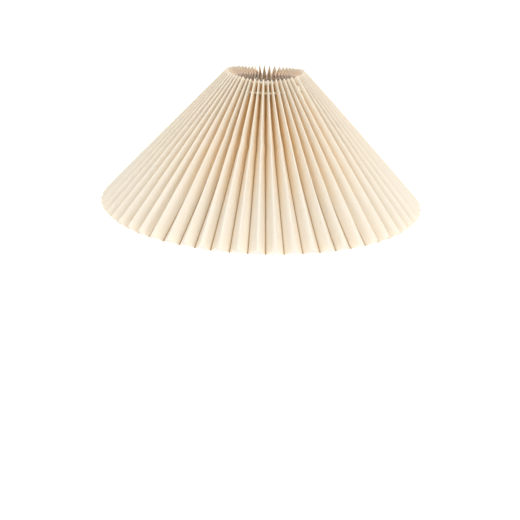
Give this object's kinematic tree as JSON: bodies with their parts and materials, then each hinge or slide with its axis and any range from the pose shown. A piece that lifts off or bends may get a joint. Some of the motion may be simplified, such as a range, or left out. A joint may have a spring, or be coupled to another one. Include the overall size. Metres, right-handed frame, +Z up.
{
  "type": "lamp shade",
  "caption": "Pleated cone-shaped lamp shade of cream cotton, gathered at the neck by a cord, on a wire frame with a lampholder ring.",
  "frame": {"origin": "on the shade's axis, in the plane that the lower edge's tips stand on", "axes": "+Z up along the shade's axis towards the neck, -Y towards the front, with the lapped seam at the back"},
  "size_m": [0.4006, 0.4006, 0.1703],
  "materials": {
    "laminated_cotton": "cream plain-weave cotton laminated to a clear stiff film, raw-cut edges, matt",
    "cotton_cord": "twisted natural cotton cord, matt",
    "adhesive_tape": "clear double-sided adhesive tape, satin",
    "enamelled_steel": "off-white baked powder coat, satin"
  },
  "bodies": {
    "root": {"pleated_fabric": "laminated_cotton", "seam_tape": "adhesive_tape", "draw_cord": "cotton_cord", "neck_ring": "enamelled_steel", "rim_ring": "enamelled_steel", "fitter_ring": "enamelled_steel", "spoke_1": "enamelled_steel", "spoke_2": "enamelled_steel", "spoke_3": "enamelled_steel", "strut_1": "enamelled_steel", "strut_2": "enamelled_steel", "strut_3": "enamelled_steel", "strut_4": "enamelled_steel", "strut_5": "enamelled_steel", "strut_6": "enamelled_steel"}
  },
  "joints": []
}
